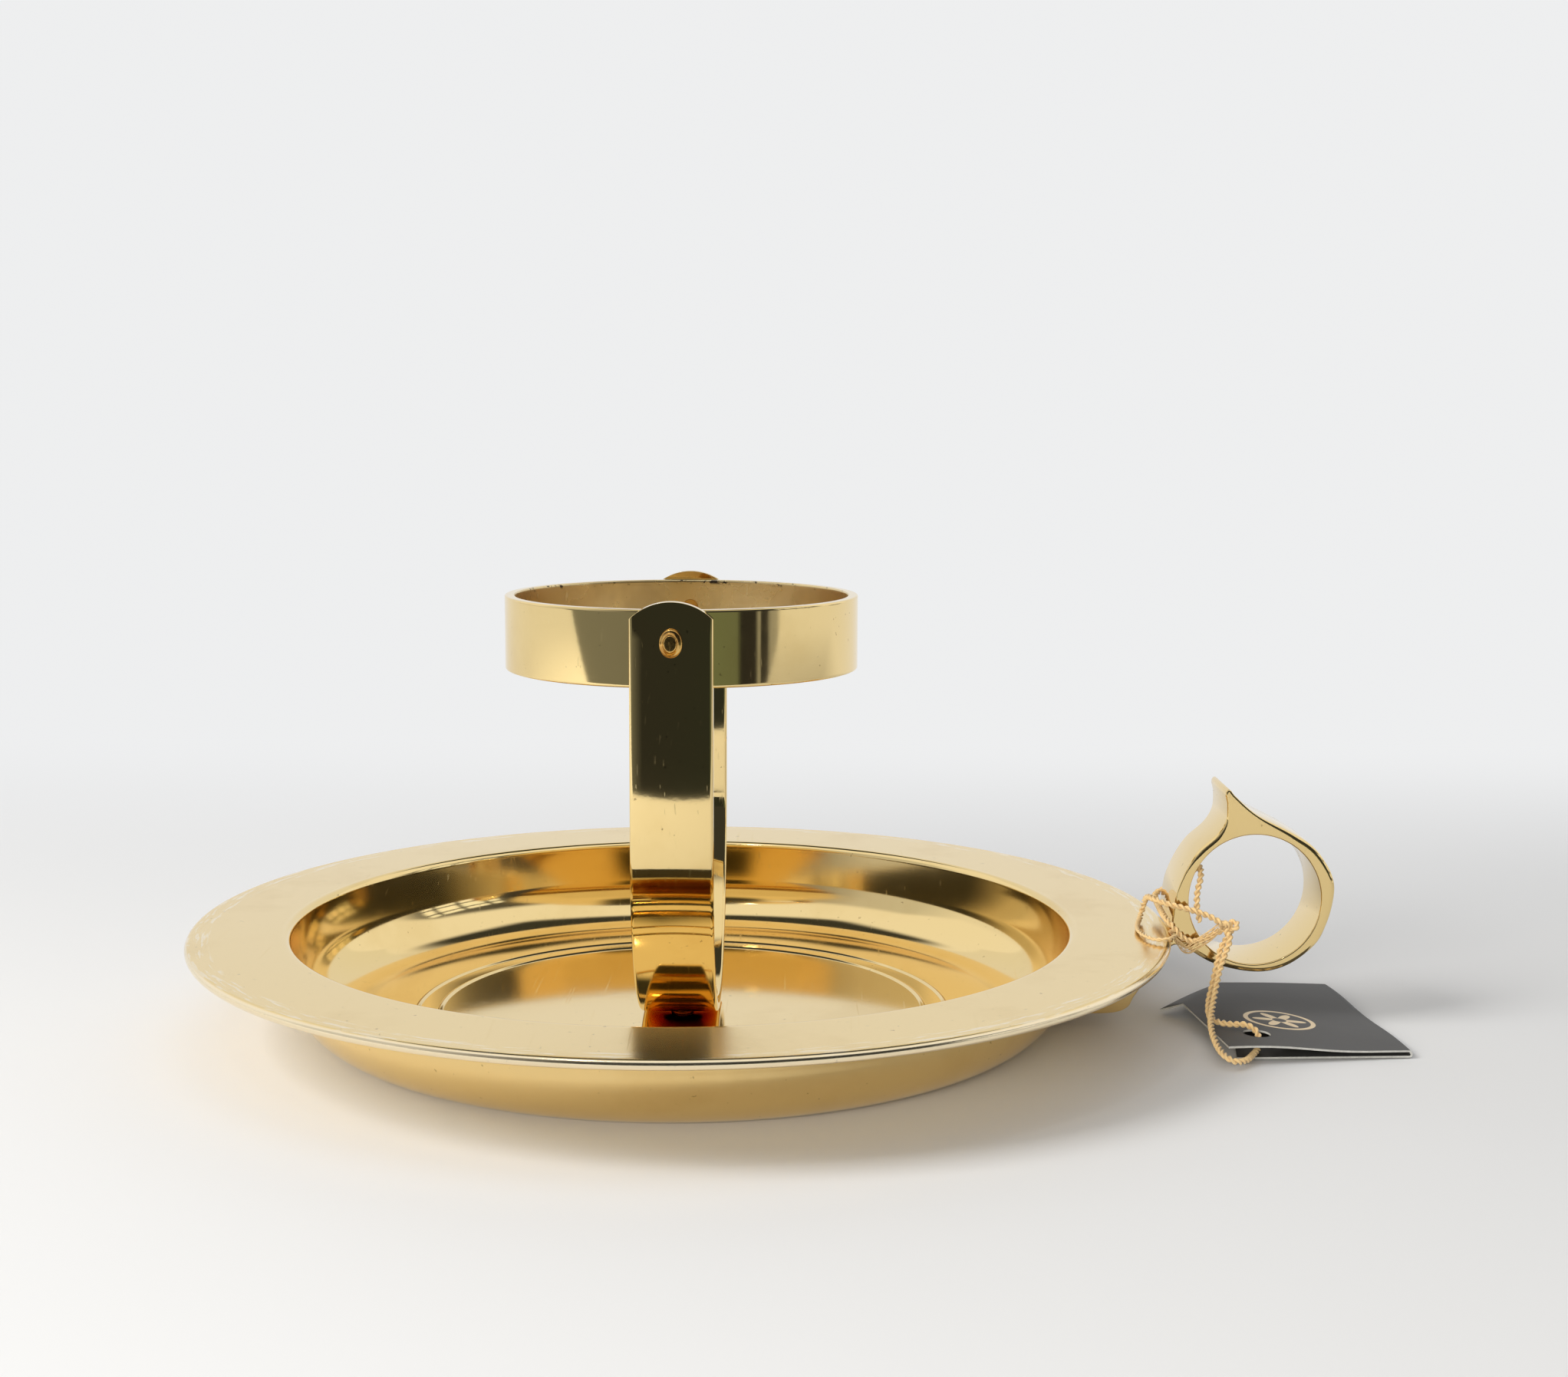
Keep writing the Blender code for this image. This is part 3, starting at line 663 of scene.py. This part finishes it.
fingerLoop = {
    "centre": (0.1075, 0.0249), "hole": 0.01235, "width": 0.0150, "edge": 0.00088, "smallEdge": 0.0003,
    "holeEdge": 0.00028, "edgeSteps": 5, "holeSteps": 120, "outlineSteps": 8,
    "roundedFrom": 0.0945, "roundedTo": 0.0160,
    "tip": [(-6.05, 19.7), (-6.02, 20.3), (-5.75, 20.75), (-5.35, 20.85), (-5.0, 20.6)],
    # outer and left: degrees round the hole and the wall there in mm. lobe and seat: x and z in mm
    "outer": [(102.6, 7.95), (90.4, 3.75), (63.4, 1.96), (43.6, 2.29), (26.2, 2.59), (12.2, 2.79),
              (358.1, 2.36), (340.6, 2.07), (322.6, 2.13), (296.7, 1.87), (272.1, 1.60), (239.9, 1.99)],
    "lobe": [(93.5, 16.1), (91.2, 14.5), (88.2, 10.2), (85.4, 6.2), (84.2, 4.1), (81.4, 3.0), (75.5, 2.8)],
    "seat": [(70.74, 3.2), (73.06, 6.0), (74.62, 9.0), (74.6, 12.0), (75.1, 14.85), (76.3, 16.95),
             (92.3, 16.95), (92.3, 19.35)],
    "left": [(195.9, 3.67), (183.8, 2.68), (172.1, 2.19), (156.5, 1.71), (139.9, 1.77), (121.0, 2.00),
             (111.0, 3.83), (107.3, 6.82)],
    "look": {**plainBrass, "bright": (0.86, 0.65, 0.30), "rough": 0.06, "rubRough": 0.10, "grainScale": 350.0,
             "grainBump": 0.05, "waveScale": 130.0, "waveBump": 0.35},
}


def roundedWall(name, outline, half, rounding, steps):  # a wall along the (x, z) outline, its edges turned in
    area = sum(a[0] * b[1] - b[0] * a[1] for a, b in zip(outline, outline[1:] + outline[:1]))
    inward = []
    for before, after in zip(outline[-1:] + outline[:-1], outline[1:] + outline[:1]):
        along = Vector((after[0] - before[0], after[1] - before[1])).normalized() * (1 if area > 0 else -1)
        inward.append(Vector((-along.y, along.x)))
    levels = [(math.radians(90 * i / steps), 0.0) for i in range(steps + 1)] + [(math.radians(90), 0.00012)]
    levels = [(-1, *level) for level in reversed(levels)] + [(1, *level) for level in levels]
    wall = drawChain(name, [(x, 0.0, z) for x, z in outline], closed=True)
    for _ in levels[1:]:
        extruded((0.0, 1.0, 0.0))  # one row for each level, placed below
    bpy.ops.object.mode_set(mode="OBJECT")
    at = {(round(x, 6), round(z, 6)): i for i, (x, z) in enumerate(outline)}
    for vertex in wall.data.vertices:
        index = at[(round(vertex.co.x, 6), round(vertex.co.z, 6))]
        face, turn, further = levels[round(vertex.co.y)]
        x, z = outline[index]
        radius = rounding(x, z)
        shift = radius * (1 - math.cos(turn)) + math.copysign(further, radius)
        x, z = x + inward[index].x * shift, z + inward[index].y * shift
        vertex.co = (x, face * (half - abs(radius) * (1 - math.sin(turn))), z)
    onlyPiece(wall)
    bpy.ops.object.mode_set(mode="EDIT")
    closeShell()
    return wall


def makeFingerLoop(f):
    cx, cz = f["centre"]

    def around(pairs):  # an angle and a wall in mm round the hole
        return [(cx + (f["hole"] + wall / 1000) * math.cos(math.radians(angle)),
                 cz + (f["hole"] + wall / 1000) * math.sin(math.radians(angle))) for angle, wall in pairs]

    def inMetres(pairs):
        return [(x / 1000, z / 1000) for x, z in pairs]

    def curved(pairs):
        return [(p.x, p.y) for p in throughPoints([(x, z, 0.0) for x, z in pairs], f["outlineSteps"])]

    tip = [(cx + x / 1000, cz + z / 1000) for x, z in f["tip"]]
    outline = tip + curved(around(f["outer"]) + inMetres(f["lobe"])) + inMetres(f["seat"])
    outline += curved(around(f["left"]))
    outline = [p for p, q in zip(outline, outline[1:] + outline[:1]) if math.dist(p, q) > 1e-5]

    def rounding(x, z):  # broad round the ring, small at the tip and the seat
        clearOfSeat = min(1.0, max(0.0, (x - f["roundedFrom"]) / 0.002))
        clearOfTip = min(1.0, max(0.0, (cz + f["roundedTo"] - z) / 0.004))
        return f["smallEdge"] + (f["edge"] - f["smallEdge"]) * (clearOfSeat * clearOfTip)

    hole = arcPoints(f["centre"], f["hole"], 0, 360 - 360 / f["holeSteps"], f["holeSteps"] - 1)
    loop = roundedWall("fingerLoop", outline, f["width"] / 2, rounding, f["edgeSteps"])
    rim = roundedWall("fingerLoopHole", hole, f["width"] / 2, lambda x, z: -f["holeEdge"], f["edgeSteps"])
    onlyPiece(loop)
    rim.select_set(True)
    bpy.ops.object.join()
    for face in (-1, 1):  # close the front face, then the back one
        bpy.ops.object.mode_set(mode="EDIT")
        bpy.ops.mesh.select_all(action="DESELECT")
        bpy.ops.mesh.select_mode(type="EDGE")
        bpy.ops.mesh.select_non_manifold(extend=False)
        bpy.ops.object.mode_set(mode="OBJECT")
        for edge in loop.data.edges:
            edge.select = edge.select and loop.data.vertices[edge.vertices[0]].co.y * face > 0
        bpy.ops.object.mode_set(mode="EDIT")
        bpy.ops.mesh.fill()  # between the outline and the hole
    bpy.ops.mesh.select_mode(type="VERT")
    closeShell()
    smoothed(loop, 40.0)
    wear(loop, brass("handleBrass", f["look"]), "stand", "finger_ring")


makeFingerLoop(fingerLoop)
print("stage: finger loop cast")

tag = {
    "thickness": 0.00036, "rows": 44, "columns": 40, "flapColumns": 6, "foldColumns": 8, "creaseFrom": 0.60,
    "frontLeft": (0.0987, -0.0315, 0.0036), "left": (0.0955, -0.0020, 0.0033),
    "backLeft": (0.1062, 0.0170, 0.0023), "frontRight": (0.1324, -0.0258, 0.0012),
    "backRight": (0.1280, 0.0211, 0.0010), "curlTip": (0.0920, 0.0025, 0.0008),
    "lowFrontLeft": (0.1010, -0.0275, 0.0004), "lowBackLeft": (0.1070, 0.0165, 0.0004), "lowRight": 0.0004,
    "crown": 0.0007, "hole": (0.1055, -0.0223), "holeRadius": 0.0025,
    "mark": (0.1120, -0.0110), "markRadius": 0.0062, "petals": 6.0, "petalBase": 1.9, "petalReach": 0.28,
    "core": (0.00125, 0.00137), "ringHalf": (0.00050, 0.00038), "foilAbove": (0.00105, 0.0012),
    "black": (0.083, 0.082, 0.080), "edgeShade": (0.66, 0.66, 0.62), "gold": (0.82, 0.64, 0.38),
}


def tagPaper(t):  # dark card with a gold flower in a ring
    material, tree, shader = newMaterial("tagCardPrinted")
    place = addNode(tree, "TexCoord").outputs["Object"]
    fibre = noiseNode(tree, place, 2600.0, 3.0, 0.7)
    mottle = noiseNode(tree, place, 160.0, 3.0, 0.6)
    lighter, darker = (tuple(share * c for c in t["black"]) for share in (1.5, 0.6))
    shade = mixColour(tree, times(tree, mottle, 0.35), t["black"], lighter)
    shade = mixColour(tree, times(tree, fibre, 0.25), shade, darker)
    local = stretched(tree, place, (1.0, 1.0, 1.0), shift=(-t["mark"][0], -t["mark"][1], 0.0))
    u, v, height = addNode(tree, "SeparateXYZ", {"Vector": local}).outputs
    distance = distanceNode(tree, u, v)
    turn = times(tree, mathNode(tree, "ARCTAN2", v, u), t["petals"])
    petals = mathNode(tree, "ADD", mathNode(tree, "COSINE", turn), t["petalBase"])
    petals = times(tree, petals, t["markRadius"] * t["petalReach"])
    inside = rampNode(tree, mathNode(tree, "SUBTRACT", petals, distance), -0.00006, 0.00006)
    core = rampNode(tree, distance, *t["core"])
    ring = mathNode(tree, "ABSOLUTE", mathNode(tree, "SUBTRACT", distance, t["markRadius"]))
    ring = rampNode(tree, ring, *t["ringHalf"])
    foil = mathNode(tree, "MAXIMUM", times(tree, inside, core), ring)
    foil = times(tree, foil, rampNode(tree, height, *t["foilAbove"]))  # the upper leaf only
    shade = mixColour(tree, foil, shade, t["gold"])
    socket(tree, shader.inputs["Base Color"], shade)
    socket(tree, shader.inputs["Roughness"], mixNumber(tree, foil, 0.62, 0.38))
    socket(tree, shader.inputs["Metallic"], times(tree, foil, 0.35))
    bump = addNode(tree, "Bump", {"Height": fibre, "Strength": 0.25, "Distance": 0.00003})
    socket(tree, shader.inputs["Normal"], bump.outputs[0])
    return material


def tagEdgePaper(t):
    material, tree, shader = newMaterial("tagCardEdge")
    place = addNode(tree, "TexCoord").outputs["Object"]
    fibre = noiseNode(tree, place, 1500.0, 3.0, 0.7)
    shade = mixColour(tree, fibre, t["edgeShade"], tuple(0.5 * c for c in t["edgeShade"]))
    socket(tree, shader.inputs["Base Color"], shade)
    shader.inputs["Roughness"].default_value = 0.9
    return material


def makeTag(t):  # a grid laid as curled corner, upper leaf, fold and lower leaf
    points = {key: Vector(value) for key, value in t.items() if isinstance(value, tuple) and len(value) == 3}

    def leftEdge(share):
        crease = t["creaseFrom"]
        if share < crease:
            return points["frontLeft"].lerp(points["left"], share / crease)
        return points["left"].lerp(points["backLeft"], (share - crease) / (1 - crease))

    columns, fold, flap = t["columns"], t["foldColumns"], t["flapColumns"]
    deselectAll()
    width = flap + columns + fold + columns
    bpy.ops.mesh.primitive_grid_add(x_subdivisions=width, y_subdivisions=t["rows"], size=2.0)
    card = bpy.context.object
    card.name = card.data.name = "swingTagCard"
    for vertex in card.data.vertices:
        column = round((vertex.co.x + 1) / 2 * width)
        share = round((vertex.co.y + 1) / 2 * t["rows"]) / t["rows"]
        left, right = leftEdge(share), points["frontRight"].lerp(points["backRight"], share)
        right.z += 0.0002 * math.sin(3 * math.pi * share)
        lowLeft = points["lowFrontLeft"].lerp(points["lowBackLeft"], share)
        lowRight = Vector((right.x, right.y, t["lowRight"]))
        if column < flap:  # the corner that curls down to the table
            away = 1 - column / flap
            vertex.co = left
            if share >= t["creaseFrom"]:
                vertex.co = left.lerp(points["curlTip"], away)
                vertex.co.z += 0.0003 * math.sin(math.pi * away)
        elif column <= flap + columns:
            along = (column - flap) / columns
            vertex.co = left.lerp(right, along)
            crown = math.sin(math.pi * along) * (0.35 + 0.65 * math.sin(math.pi * share))
            vertex.co.z += t["crown"] * crown * 0.45 + 0.00025 * math.sin(2.3 * math.pi * along) * (1 - share)
        elif column <= flap + columns + fold:
            turn = (column - flap - columns) / fold * math.pi
            middle, radius = (right.z + lowRight.z) / 2, (right.z - lowRight.z) / 2
            vertex.co = (right.x + 0.8 * radius * math.sin(turn), right.y, middle + radius * math.cos(turn))
        else:
            along = (column - flap - columns - fold) / columns
            vertex.co = lowRight.lerp(lowLeft, along)
    onlyPiece(card)
    editAll()
    bpy.ops.mesh.remove_doubles(threshold=1e-6)
    bpy.ops.mesh.normals_make_consistent(inside=False)
    bpy.ops.object.mode_set(mode="OBJECT")
    wear(card, tagPaper(t), "stand", "swing_tag")
    card.data.materials.append(tagEdgePaper(t))
    applied(card, "SOLIDIFY", thickness=t["thickness"], offset=0.0, material_offset_rim=1)
    deselectAll()
    bpy.ops.mesh.primitive_cylinder_add(vertices=40, radius=t["holeRadius"], depth=0.004,
                                        location=(*t["hole"], 0.0036))
    punch = bpy.context.object
    for material in card.data.materials:
        punch.data.materials.append(material)
    for face in punch.data.polygons:
        face.material_index = 1
    cutWith(card, punch)
    smoothed(card, 40.0)
    return card


swingTagCard = makeTag(tag)
print("stage: tag folded")

string = {
    "diameter": 0.0011, "strandRadius": 0.00032, "strandOffset": 0.00031, "pitch": 0.0024, "sides": 9,
    "step": 0.00022,
    "pale": (1.0, 0.78, 0.42), "deep": (0.55, 0.30, 0.08),
    "fray": [(0.1008, -0.0098, 0.0206), (0.0993, -0.0094, 0.0188), (0.0965, -0.0093, 0.0168),
             (0.0944, -0.0093, 0.0158), (0.0914, -0.0091, 0.0194)],
    "frayStrands": 11, "frayRadius": 0.00010, "fraySpread": 0.00085, "frayPitch": 0.03, "fraySides": 5,
    "knotPlace": (0.1024, -0.0097, 0.0201), "knotSize": 0.00068, "knotLobe": 1.35, "knotDepth": 0.95,
    "knotTight": 0.9, "knotSteps": 60, "lead": 0.62,
    "fall": [(0.1019, -0.0094, 0.0178), (0.1009, -0.0098, 0.0160), (0.1001, -0.0106, 0.0132),
             (0.0992, -0.0118, 0.0098), (0.0982, -0.0138, 0.0070), (0.0979, -0.0166, 0.0052),
             (0.0990, -0.0190, 0.0047), (0.1012, -0.0205, 0.0047), (0.1036, -0.0212, 0.0048),
             (0.1053, -0.0220, 0.0040), (0.1058, -0.0233, 0.0024), (0.1050, -0.0255, 0.0015),
             (0.1035, -0.0285, 0.0013), (0.1018, -0.0318, 0.0014), (0.0996, -0.0337, 0.0017),
             (0.0979, -0.0324, 0.0023), (0.0971, -0.0290, 0.0031), (0.0969, -0.0250, 0.0044),
             (0.0973, -0.0210, 0.0056), (0.0983, -0.0172, 0.0070), (0.0993, -0.0143, 0.0093),
             (0.1003, -0.0124, 0.0124), (0.1014, -0.0114, 0.0154), (0.1023, -0.0109, 0.0178)],
    "wrap": [(0.1001, -0.0094, 0.0190), (0.0980, -0.0092, 0.0178), (0.0957, -0.0090, 0.0173),
             (0.0939, -0.0090, 0.0180), (0.0924, -0.0090, 0.0196), (0.0912, -0.0080, 0.0209),
             (0.0908, -0.0055, 0.0214), (0.0908, -0.0010, 0.0217), (0.0909, 0.0040, 0.0221),
             (0.0913, 0.0072, 0.0226), (0.0930, 0.0087, 0.0232), (0.0952, 0.0086, 0.0238),
             (0.0967, 0.0070, 0.0247), (0.0968, 0.0035, 0.0266), (0.0971, -0.0004, 0.0290),
             (0.0976, -0.0040, 0.0304), (0.0975, -0.0062, 0.0290), (0.0968, -0.0069, 0.0262),
             (0.0968, -0.0070, 0.0232), (0.0974, -0.0069, 0.0205)],
    "loop": [(0.1006, -0.0104, 0.0212), (0.0988, -0.0100, 0.0222), (0.0962, -0.0096, 0.0231),
             (0.0934, -0.0092, 0.0238), (0.0908, -0.0084, 0.0243), (0.0888, -0.0062, 0.0247),
             (0.0881, -0.0030, 0.0243), (0.0879, -0.0006, 0.0228), (0.0876, 0.0000, 0.0209),
             (0.0868, -0.0024, 0.0199), (0.0858, -0.0065, 0.0198), (0.0853, -0.0110, 0.0198),
             (0.0860, -0.0154, 0.0198), (0.0878, -0.0181, 0.0198), (0.0898, -0.0180, 0.0199),
             (0.0912, -0.0162, 0.0200)],
}


def stringFinish(s):  # lengthways fibres that follow the twist, by the UV map
    material, tree, shader = newMaterial("stringTwist")
    uv = addNode(tree, "UVMap", uv_map="twist").outputs[0]
    slanted = stretched(tree, uv, (6.0, 9.0, 1.0), (0.0, 0.0, math.radians(24)))
    fibres = noiseNode(tree, slanted, 3.0, 3.0, 0.7)
    patch = noiseNode(tree, addNode(tree, "TexCoord").outputs["Object"], 500.0, 2.0)
    shade = mixColour(tree, rampNode(tree, fibres, 0.35, 0.68), s["deep"], s["pale"])
    shade = mixColour(tree, times(tree, patch, 0.4), shade, s["pale"])
    socket(tree, shader.inputs["Base Color"], shade)
    shader.inputs["Roughness"].default_value = 0.42
    shader.inputs["Sheen Weight"].default_value = 0.25
    bump = addNode(tree, "Bump", {"Height": fibres, "Strength": 0.6, "Distance": 0.00006})
    socket(tree, shader.inputs["Normal"], bump.outputs[0])
    return material


def evenPoints(points, step):  # the same line with a point every step
    fine = throughPoints(points, 24)
    lengths = [0.0]
    for start, end in zip(fine, fine[1:]):
        lengths.append(lengths[-1] + (end - start).length)
    count = max(2, round(lengths[-1] / step))
    found, at = [], 0
    for i in range(count + 1):
        wanted = lengths[-1] * i / count
        while at < len(lengths) - 2 and lengths[at + 1] < wanted:
            at += 1
        span = lengths[at + 1] - lengths[at] or 1.0
        found.append(fine[at].lerp(fine[at + 1], (wanted - lengths[at]) / span))
    return found, lengths[-1]


# Round strands twisted about the path; the UV map runs along each one in mm and once round it.
def tubeStrands(name, path, length, strands, strandRadius, offset, pitch, sides, taper=lambda share: 1.0):
    shape = bmesh.new()
    uvLayer = shape.loops.layers.uv.new("twist")
    across = (path[1] - path[0]).orthogonal().normalized()
    frames = []
    for i, place in enumerate(path):
        ahead = (path[min(i + 1, len(path) - 1)] - path[max(i - 1, 0)]).normalized()
        across = (across - across.dot(ahead) * ahead).normalized()
        frames.append((place, across.copy(), ahead.cross(across)))
    for strand in range(strands):
        rings = []
        for i, (place, side, up) in enumerate(frames):
            along = length * i / (len(path) - 1)
            twist = 2 * math.pi * (along / pitch + strand / strands)
            slim = taper(i / (len(path) - 1))
            centre = place + offset * slim * (math.cos(twist) * side + math.sin(twist) * up)
            radius = strandRadius * slim
            rings.append([shape.verts.new(centre + radius * (math.cos(a) * side + math.sin(a) * up))
                          for a in (2 * math.pi * k / sides for k in range(sides))])
        for i, (first, second) in enumerate(zip(rings, rings[1:])):
            for k in range(sides):
                face = shape.faces.new((first[k], first[(k + 1) % sides], second[(k + 1) % sides], second[k]))
                face.smooth = True
                marks = ((i, k), (i, k + 1), (i + 1, k + 1), (i + 1, k))
                for loop, (row, corner) in zip(face.loops, marks):
                    loop[uvLayer].uv = (length / (len(path) - 1) * row * 1000, corner / sides)
        shape.faces.new(rings[0][::-1])
        shape.faces.new(rings[-1])
    bmesh.ops.recalc_face_normals(shape, faces=shape.faces)
    mesh = bpy.data.meshes.new(name)
    shape.to_mesh(mesh)
    shape.free()
    piece = bpy.data.objects.new(name, mesh)
    bpy.context.scene.collection.objects.link(piece)
    return piece


def makeString(name, route, s, material, node, bothEnds=False, **shape):
    knot = Vector(s["knotPlace"])  # the ends run on into the knot
    route = [Vector(route[0]).lerp(knot, s["lead"]), *route]
    if bothEnds:
        route.append(Vector(route[-1]).lerp(knot, s["lead"]))
    path, length = evenPoints(route, s["step"])
    piece = tubeStrands(name, path, length, 2, s["strandRadius"], s["strandOffset"], s["pitch"], s["sides"],
                        **shape)
    wear(piece, material, "stand", node)
    return piece, path, length


def makeKnot(s, material):  # an overhand knot pulled tight
    lobe = s["knotLobe"]
    places = []
    for i in range(s["knotSteps"] + 1):
        a = 2 * math.pi * i / s["knotSteps"]
        turn = Vector((math.sin(a) + lobe * math.sin(2 * a), -s["knotDepth"] * math.sin(3 * a),
                       math.cos(a) - lobe * math.cos(2 * a)))
        places.append(Vector(s["knotPlace"]) + s["knotSize"] * turn)
    path, length = evenPoints(places, s["step"])
    piece = tubeStrands("stringKnot", path, length, 2, s["strandRadius"], s["strandOffset"] * s["knotTight"],
                        s["pitch"], s["sides"])
    wear(piece, material, "stand", "string_knot")
    return piece


def makeFray(s, material):  # the string's loose end, picked apart into fibres
    path, length = evenPoints([Vector(place) for place in s["fray"]], s["step"])
    piece = tubeStrands("stringFray", path, length, s["frayStrands"], s["frayRadius"], s["fraySpread"],
                        s["frayPitch"], s["fraySides"],
                        taper=lambda share: 0.35 + 0.65 * math.sin(math.pi * min(1.0, share + 0.15)))
    wear(piece, material, "stand", "string_knot")
    return piece


stringMaterial = stringFinish(string)
stringKnot = makeKnot(string, stringMaterial)
stringFray = makeFray(string, stringMaterial)
stringFall, fallPath, fallLength = makeString("stringFall", string["fall"], string, stringMaterial,
                                              "string_fall", bothEnds=True)
stringWrap, wrapPath, wrapLength = makeString("stringWrap", string["wrap"], string, stringMaterial,
                                              "string_wrap")
stringLoop, loopPath, loopLength = makeString(
    "stringLoop", string["loop"], string, stringMaterial, "string_loop",
    taper=lambda share: 1.0 - 0.35 * min(1.0, max(0.0, 2.5 * share - 1.0)))
print("stage: strings laid", round(fallLength, 4), round(wrapLength, 4), round(loopLength, 4))
